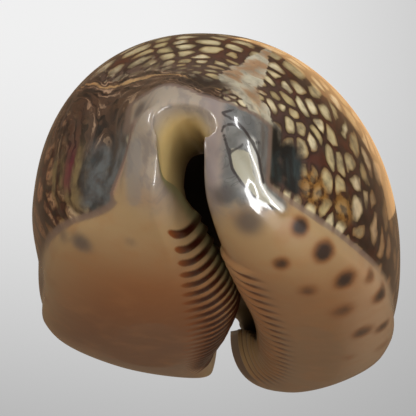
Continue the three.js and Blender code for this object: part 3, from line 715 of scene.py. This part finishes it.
teal = add(tree, "Mix", {0: share, 6: colour("#090d0e"), 7: colour("#202c2e")}, **IN_COLOUR)[2]
grain = add(tree, "TexNoise", {"Vector": mm, "Scale": 1 / 1.3, "Detail": 3.0})[0]
frayed = add(tree, "Math", (grain, 1.2, -0.6), operation="MULTIPLY_ADD")[0]
near_hollow = add(tree, "Math", (masks["right_hollow"], frayed), operation="ADD")[0]
share = add(tree, "MapRange", (near_hollow, -0.2, 0.5, 0.0, 0.85), **SMOOTHLY)[0]
netted = add(tree, "Mix", {0: share, 6: netted, 7: colour("#3c302a")}, **IN_COLOUR)[2]
share = add(tree, "MapRange", (near_hollow, 0.3, 0.8), **SMOOTHLY)[0]
netted = add(tree, "Mix", {0: share, 6: netted, 7: teal}, **IN_COLOUR)[2]
mottle = add(tree, "TexNoise", {"Vector": mm, "Scale": 1 / 0.9, "Detail": 3.0})[0]
share = add(tree, "MapRange", (mottle, 0.4, 0.6), **SMOOTHLY)[0]
honey = add(tree, "Mix", {0: share, 6: colour("#351a07"), 7: colour("#86602a")}, **IN_COLOUR)[2]
share = add(tree, "MapRange", (masks["amber"], 0.35, 0.8, 0.0, 0.8), **SMOOTHLY)[0]
netted = add(tree, "Mix", {0: share, 6: netted, 7: honey}, **IN_COLOUR)[2]

# The callus: fawn, browner and darker towards the bottom of the base, partly its own colour and partly
# painted shade, paler on the right flank with painted light, grey near the rear canal, spotted at the
# sides.
grain = add(tree, "TexNoise", {"Vector": mm, "Scale": 1 / 11.0, "Detail": 3.0})[0]
fawn = add(tree, "Mix", {0: grain, 6: colour("#a9926f"), 7: colour("#937955")}, **IN_COLOUR)[2]
# Painted shade, partly the callus's own browner tone: darker towards the bottom of the base, less at
# the rear and on the right.
low = add(tree, "MapRange", (far[2], 0.5, 5.5, 1.0, 0.0), **SMOOTHLY)[0]
share = add(tree, "MapRange", (far[1], -27.0, -12.0, 0.15, 1.0), **SMOOTHLY)[0]
low = add(tree, "Math", (low, share), operation="MULTIPLY")[0]
share = add(tree, "MapRange", (far[0], 2.0, 9.0, 1.0, 0.65), **SMOOTHLY)[0]
low = add(tree, "Math", (low, share), operation="MULTIPLY")[0]
share = add(tree, "MapRange", (far[1], -20.0, 8.0), **SMOOTHLY)[0]
umber_tone_and_shade = add(tree, "Mix", {0: share, 6: colour("#8a5228"), 7: colour("#5c2a0d")}, **IN_COLOUR)[2]
amount = add(tree, "Math", (low, 0.9), operation="MULTIPLY")[0]
fawn = add(tree, "Mix", {0: amount, 6: fawn, 7: umber_tone_and_shade}, **IN_COLOUR)[2]
# Painted light: the right flank of the callus paler, as if lit from the right.
share = add(tree, "MapRange", (far[0], 13.0, 19.0), **SMOOTHLY)[0]
right_painted_light = add(tree, "Math", (share, 0.6), operation="MULTIPLY")[0]
fawn = add(tree, "Mix", {0: right_painted_light, 6: fawn, 7: colour("#bb9c7e")}, **IN_COLOUR)[2]
grain = add(tree, "TexNoise", {"Vector": mm, "Scale": 1 / 3.4, "Detail": 4.0})[0]
bloom = add(tree, "MapRange", (grain, 0.45, 0.75, 0.0, 0.35), **SMOOTHLY)[0]
fawn = add(tree, "Mix", {0: bloom, 6: fawn, 7: colour("#99683f")}, **IN_COLOUR)[2]
amount = add(tree, "Math", (masks["grey"], 0.75), operation="MULTIPLY")[0]
fawn = add(tree, "Mix", {0: amount, 6: fawn, 7: colour("#8f8a83")}, **IN_COLOUR)[2]
finer = {"Vector": streak_at, "Scale": 1 / 1.1, "Detail": 3.0, "Distortion": 0.3}
grain = add(tree, "TexNoise", finer)[0]
sleek = add(tree, "MapRange", (grain, 0.46, 0.64, 0.0, 0.5), **SMOOTHLY)[0]
sleek = add(tree, "Math", (sleek, masks["grey"]), operation="MULTIPLY")[0]
fawn = add(tree, "Mix", {0: sleek, 6: fawn, 7: colour("#6c6768")}, **IN_COLOUR)[2]
grain = add(tree, "TexNoise", {"Vector": mm, "Scale": 1 / 0.8, "Detail": 3.0})[0]
cloudy = add(tree, "Math", (grain, 0.9, -0.45), operation="MULTIPLY_ADD")[0]
amount = add(tree, "Math", (masks["streak"], cloudy), operation="ADD")[0]
cloudy_streak = add(tree, "MapRange", (amount, 0.3, 0.9), **SMOOTHLY)[0]

# The glassy end of the outer lip: smoky grey with faint dark veins.
amount = add(tree, "Math", (cloudy, 0.5, masks["glassy"]), operation="MULTIPLY_ADD")[0]
glass = add(tree, "MapRange", (amount, 0.2, 0.9), **SMOOTHLY)[0]
grain = add(tree, "TexNoise", {"Vector": mm, "Scale": 1 / 2.4, "Detail": 3.0, "Distortion": 0.3})[0]
smoke = add(tree, "MapRange", (grain, 0.38, 0.62), **SMOOTHLY)[0]
smoke = add(tree, "Mix", {0: smoke, 6: colour("#54585a"), 7: colour("#6f7373")}, **IN_COLOUR)[2]
amount = add(tree, "Math", (glass, 0.92), operation="MULTIPLY")[0]
fawn = add(tree, "Mix", {0: amount, 6: fawn, 7: smoke}, **IN_COLOUR)[2]
grain = add(tree, "TexNoise", {"Vector": mm, "Scale": 1 / 2.6, "Detail": 2.0, "Distortion": 1.2})[0]
amount = add(tree, "Math", (grain, -0.5), operation="ADD")[0]
vein = add(tree, "Math", (amount,), operation="ABSOLUTE")[0]
share = add(tree, "MapRange", (vein, 0.004, 0.016, 0.35, 0.0), **SMOOTHLY)[0]
vein = add(tree, "Math", (share, glass), operation="MULTIPLY")[0]
fawn = add(tree, "Mix", {0: vein, 6: fawn, 7: colour("#2b2b2e")}, **IN_COLOUR)[2]

# Spots with ragged edges, browner round the rim.
spot = masks["spots"]
grain = add(tree, "TexNoise", {"Vector": mm, "Scale": 1 / 1.2, "Detail": 3.0})[0]
ragged = add(tree, "Math", (grain, 0.5, -0.25), operation="MULTIPLY_ADD")[0]
amount = add(tree, "Math", (ragged, spot), operation="MULTIPLY")[0]
spot = add(tree, "Math", (spot, amount), operation="ADD")[0]
share = add(tree, "MapRange", (spot, 0.1, 0.5, 0.0, 0.75), **SMOOTHLY)[0]
fawn = add(tree, "Mix", {0: share, 6: fawn, 7: colour("#7d4e2a")}, **IN_COLOUR)[2]
share = add(tree, "MapRange", (spot, 0.3, 0.85, 0.0, 0.95), **SMOOTHLY)[0]
fawn = add(tree, "Mix", {0: share, 6: fawn, 7: colour("#28201f")}, **IN_COLOUR)[2]

# Tinted edges of both lips, the blue-grey streak, the cream patch, and a painted highlight along the
# rib.
amount = add(tree, "Math", (masks["strip"], 0.75), operation="MULTIPLY")[0]
fawn = add(tree, "Mix", {0: amount, 6: fawn, 7: colour("#797073")}, **IN_COLOUR)[2]
amount = add(tree, "Math", (cloudy_streak, 0.36), operation="MULTIPLY")[0]
fawn = add(tree, "Mix", {0: amount, 6: fawn, 7: colour("#747a80")}, **IN_COLOUR)[2]
amount = add(tree, "Math", (masks["pink"], 0.6), operation="MULTIPLY")[0]
fawn = add(tree, "Mix", {0: amount, 6: fawn, 7: colour("#94736b")}, **IN_COLOUR)[2]
amount = add(tree, "Math", (masks["cream"], cloudy), operation="ADD")[0]
cream = add(tree, "MapRange", (amount, 0.35, 0.75), **SMOOTHLY)[0]
amount = add(tree, "Math", (cream, 0.75), operation="MULTIPLY")[0]
fawn = add(tree, "Mix", {0: amount, 6: fawn, 7: colour("#a5a491")}, **IN_COLOUR)[2]
# Painted highlight: pale grey along the rib.
amount = add(tree, "Math", (masks["rib_painted_highlight"], 0.75), operation="MULTIPLY")[0]
fawn = add(tree, "Mix", {0: amount, 6: fawn, 7: colour("#d4d7d3")}, **IN_COLOUR)[2]

# The thin grey rim where the callus runs out over the net.
bare = add(tree, "Math", (1.0, masks["callus"]), operation="SUBTRACT")[0]
amount = add(tree, "Math", (masks["callus"], bare), operation="MULTIPLY")[0]
rim = add(tree, "MapRange", (amount, 0.02, 0.22), **SMOOTHLY)[0]
share = add(tree, "MapRange", (far[1], -16.0, -9.0, 0.7, 0.0), **SMOOTHLY)[0]
rim = add(tree, "Math", (rim, share), operation="MULTIPLY")[0]

# Hair cracks and smoky smudges.
crack = add(tree, "MapRange", (masks["cracks"], 0.6, 0.92), **SMOOTHLY)[0]
amount = add(tree, "Math", (crack, 0.85), operation="MULTIPLY")[0]
fawn = add(tree, "Mix", {0: amount, 6: fawn, 7: colour("#241d20")}, **IN_COLOUR)[2]
smudge = add(tree, "MapRange", (masks["smudges"], 0.15, 0.9, 0.0, 0.8), **SMOOTHLY)[0]
fawn = add(tree, "Mix", {0: smudge, 6: fawn, 7: colour("#4b4748")}, **IN_COLOUR)[2]

# The teeth. On the left lip the ridges are red-brown, orange where they start on the base, with
# tan between them. On the right lip the grooves between the ridges are dark.
lip = masks["lip"]
lip_right = masks["lip_right"]
tooth = masks["teeth"]
on_left = add(tree, "MapRange", (lip, 0.12, 0.36, -1.0, 0.0), **SMOOTHLY)[0]
share = add(tree, "MapRange", (lip, 0.2, 0.5), **SMOOTHLY)[0]
tooth_colour = add(tree, "Mix", {0: share, 6: colour("#7d400c"), 7: colour("#2f0f06")}, **IN_COLOUR)[2]
amount = add(tree, "Math", (tooth, on_left), operation="ADD")[0]
painted = add(tree, "MapRange", (amount, 0.25, 0.65), **SMOOTHLY)[0]
share = add(tree, "MapRange", (lip, 0.5, 1.0), **SMOOTHLY)[0]
amount = add(tree, "Math", (share, 0.5), operation="MULTIPLY")[0]
fawn = add(tree, "Mix", {0: amount, 6: fawn, 7: colour("#5d4526")}, **IN_COLOUR)[2]
fawn = add(tree, "Mix", {0: painted, 6: fawn, 7: tooth_colour}, **IN_COLOUR)[2]
share = add(tree, "MapRange", (tooth, 0.2, 0.8), **SMOOTHLY)[0]
olive = add(tree, "Mix", {0: share, 6: colour("#75704f"), 7: colour("#3f3522")}, **IN_COLOUR)[2]
fawn = add(tree, "Mix", {0: masks["fossula"], 6: fawn, 7: olive}, **IN_COLOUR)[2]
on_right = add(tree, "MapRange", (lip_right, 0.2, 0.45), **SMOOTHLY)[0]
share = add(tree, "MapRange", (tooth, 0.1, 0.5, 1.0, 0.0), **SMOOTHLY)[0]
groove_right = add(tree, "Math", (share, on_right), operation="MULTIPLY")[0]
amount = add(tree, "Math", (groove_right, 0.9), operation="MULTIPLY")[0]
fawn = add(tree, "Mix", {0: amount, 6: fawn, 7: colour("#3f1609")}, **IN_COLOUR)[2]

# The net with the callus over it, and the inner face: cream at the rims, ochre in the rear canal, dark
# with painted shade deep in the cavity.
skin = add(tree, "Mix", {0: masks["callus"], 6: netted, 7: fawn}, **IN_COLOUR)[2]
skin = add(tree, "Mix", {0: rim, 6: skin, 7: colour("#6d5c55")}, **IN_COLOUR)[2]
grain = add(tree, "TexNoise", {"Vector": mm, "Scale": 1 / 6.0, "Detail": 3.0})[0]
inner = add(tree, "Mix", {0: grain, 6: colour("#a38a62"), 7: colour("#8f774c")}, **IN_COLOUR)[2]
inner = add(tree, "Mix", {0: masks["ochre"], 6: inner, 7: colour("#c2aa74")}, **IN_COLOUR)[2]
# Painted shade: dark brown deep in the cavity.
inner = add(tree, "Mix", {0: masks["deep"], 6: inner, 7: colour("#33281c")}, **IN_COLOUR)[2]
skin = add(tree, "Mix", {0: masks["inside"], 6: skin, 7: inner}, **IN_COLOUR)[2]

# Broad, faint waves in the polished face, which break up the highlights a little.
grain = add(tree, "TexNoise", {"Vector": mm, "Scale": 1 / 6.0, "Detail": 2.0})[0]
height = add(tree, "Math", (grain, 0.25), operation="MULTIPLY")[0]
bump = add(tree, "Bump", {"Height": height, "Strength": 0.35, "Distance": MM})
surface = add(
    tree,
    "BsdfPrincipled",
    {
        "Base Color": skin,
        "Roughness": 0.32,
        "IOR": 1.53,
        "Subsurface Weight": 0.12,
        "Subsurface Radius": (0.0014, 0.0008, 0.0005),
        "Subsurface Scale": 1.0,
        "Sheen Weight": 0.07,
        "Sheen Roughness": 0.35,
        "Sheen Tint": colour("#d98c45"),
        "Coat Weight": 0.9,
        "Coat Roughness": 0.06,
        "Coat IOR": 1.5,
        "Normal": bump[0],
    },
)
add(tree, "OutputMaterial", {"Surface": surface[0]})
mesh.materials.append(glaze)
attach(shell, "root")
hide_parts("shell")

# The floor: pale matt card. The photograph looks up from below the floor's level, so the card
# shows its upper face only, and lets the light from below pass.

FLOOR_SIZE = 0.9
floor_mesh = bpy.data.meshes.new("floor")
half = FLOOR_SIZE / 2
floor_mesh.from_pydata(
    [(-half, -half, 0), (half, -half, 0), (half, half, 0), (-half, half, 0)], [], [(0, 1, 2, 3)]
)
floor = bpy.data.objects.new("floor", floor_mesh)
bpy.context.scene.collection.objects.link(floor)
card = bpy.data.materials.new("pale_matt_card")
card.use_nodes = True
tree = card.node_tree
tree.nodes.clear()
matt = add(tree, "BsdfPrincipled", {"Base Color": colour("#d9d8d6"), "Roughness": 0.9})
clear = add(tree, "BsdfTransparent")
under = add(tree, "NewGeometry")["Backfacing"]
faced = add(tree, "MixShader", {0: under, 1: matt[0], 2: clear[0]})
add(tree, "OutputMaterial", {"Surface": faced[0]})
floor_mesh.materials.append(card)
floor.visible_diffuse = False
floor.visible_glossy = False
floor.visible_transmission = False
floor.visible_shadow = False

# The backdrop: a large pale dome round the whole scene, glowing with painted light and shade, lighter
# to the left and darker below. It glows at an even strength for the camera alone, so it neither lights
# the shell nor shows in its gloss.

DOME_RADIUS = 2.0
turn = np.linspace(0, 2 * math.pi, 97)[:-1]
tilt = np.linspace(-QUARTER, QUARTER, 49)
dx = DOME_RADIUS * np.outer(np.cos(tilt), np.cos(turn))
dy = DOME_RADIUS * np.outer(np.cos(tilt), np.sin(turn))
dz = DOME_RADIUS * np.outer(np.sin(tilt), np.ones(len(turn)))
grid = np.arange(dx.size).reshape(dx.shape)
a, b = grid[:-1], np.roll(grid[:-1], -1, axis=1)
c, d = grid[1:], np.roll(grid[1:], -1, axis=1)
dome_mesh = bpy.data.meshes.new("backdrop")
dome_mesh.from_pydata(
    np.stack([dx, dy, dz], -1).reshape(-1, 3), [], np.stack([a, c, d, b], -1).reshape(-1, 4)
)
dome_mesh.polygons.foreach_set("use_smooth", np.ones(len(dome_mesh.polygons), bool))
dome = bpy.data.objects.new("backdrop", dome_mesh)
bpy.context.scene.collection.objects.link(dome)
paper = bpy.data.materials.new("pale_backdrop")
paper.use_nodes = True
tree = paper.node_tree
tree.nodes.clear()
where = add(tree, "TexCoord")["Object"]
xyz = add(tree, "SeparateXYZ", {0: where})
# Painted light and shade: lighter towards the left and the top, darker below.
rise_up = add(tree, "MapRange", (xyz[2], 0.15, 0.95), **SMOOTHLY)[0]
to_right = add(tree, "MapRange", (xyz[0], -0.25, 0.3), **SMOOTHLY)[0]
shade = add(tree, "Mix", {0: to_right, 6: colour("#f0f0f0"), 7: colour("#c4c4c4")}, **IN_COLOUR)[2]
shade = add(tree, "Mix", {0: rise_up, 6: colour("#9d9d9d"), 7: shade}, **IN_COLOUR)[2]
glow = add(tree, "Emission", {"Color": shade, "Strength": 1.0})
add(tree, "OutputMaterial", {"Surface": glow[0]})
dome_mesh.materials.append(paper)
dome.visible_diffuse = False
dome.visible_glossy = False
dome.visible_transmission = False
dome.visible_shadow = False

# Soft studio light: a wide box overhead, upright strips at both sides, a fill and a strip below
# the floor's level for the base and the glassy lip, and a small warm box behind for the far edge.


def panel(name, at, aim, size, power, tint="#ffffff"):
    """A rectangular area light at a place, turned to face its aim."""
    light = bpy.data.lights.new(name, "AREA")
    light.shape = "RECTANGLE"
    light.size, light.size_y = size
    light.energy = power
    light.color = colour(tint)[:3]
    lamp = bpy.data.objects.new(name, light)
    lamp.location = at
    lamp.rotation_euler = (Vector(aim) - Vector(at)).to_track_quat("-Z", "Y").to_euler()
    lamp.visible_camera = False
    bpy.context.scene.collection.objects.link(lamp)
    return lamp


CENTRE = (0, 0, 0.015)
overhead = panel("overhead_box", (-0.1, -0.2, 1.0), CENTRE, (2.0, 1.8), 11.0)
overhead.visible_glossy = False
panel("left_strip", (-0.26, -0.34, 0.1), CENTRE, (0.05, 0.3), 0.8)
panel("right_strip", (0.24, -0.3, 0.16), CENTRE, (0.05, 0.24), 0.8)
low_fill = panel("low_fill", (0.02, -0.5, -0.35), CENTRE, (0.6, 0.4), 2.0, "#fff2e2")
low_fill.visible_glossy = False
panel("back_box", (0.14, 0.46, 0.37), CENTRE, (0.3, 0.3), 0.24, "#ffc582")
panel("low_strip", (0.223, -0.162, -0.23), CENTRE, (0.03, 0.2), 0.45)

world = bpy.data.worlds.new("soft_room")
world.use_nodes = True
sky = world.node_tree.nodes["Background"]
sky.inputs["Color"].default_value = colour("#d6bb9c")
sky.inputs["Strength"].default_value = 0.22
bpy.context.scene.world = world

# The camera: behind the rear canal and below the floor's level, as the photograph was taken.

CAMERA_AZIMUTH = 4.3
CAMERA_ELEVATION = -20.7
CAMERA_ROLL = 4.1
CAMERA_DISTANCE = 0.1823
CAMERA_AIM = Vector((0, 0, 0.015))
FOCAL_PX = 1578.0
FRAME_PX = 416.0
CENTRE_PX = (218.4, 211.9)

az, el, roll = map(math.radians, (CAMERA_AZIMUTH, CAMERA_ELEVATION, CAMERA_ROLL))
away = Vector((math.sin(az) * math.cos(el), -math.cos(az) * math.cos(el), math.sin(el)))
right = (-away).cross(Vector((0, 0, 1))).normalized()
up = right.cross(-away)
right, up = (
    right * math.cos(roll) + up * math.sin(roll),
    up * math.cos(roll) - right * math.sin(roll),
)
lens = bpy.data.cameras.new("photo_camera")
lens.sensor_width = 36.0
lens.lens = 36.0 * FOCAL_PX / FRAME_PX
lens.shift_x = (FRAME_PX / 2 - CENTRE_PX[0]) / FRAME_PX
lens.shift_y = (CENTRE_PX[1] - FRAME_PX / 2) / FRAME_PX
lens.clip_start, lens.clip_end = 0.01, 10.0
camera = bpy.data.objects.new("photo_camera", lens)
turned = Matrix((right, up, away)).transposed().to_4x4()
turned.translation = CAMERA_AIM + away * CAMERA_DISTANCE
camera.matrix_world = turned
bpy.context.scene.collection.objects.link(camera)
bpy.context.scene.camera = camera
bpy.context.scene.view_settings.view_transform = "Standard"

bpy.context.view_layer.update()
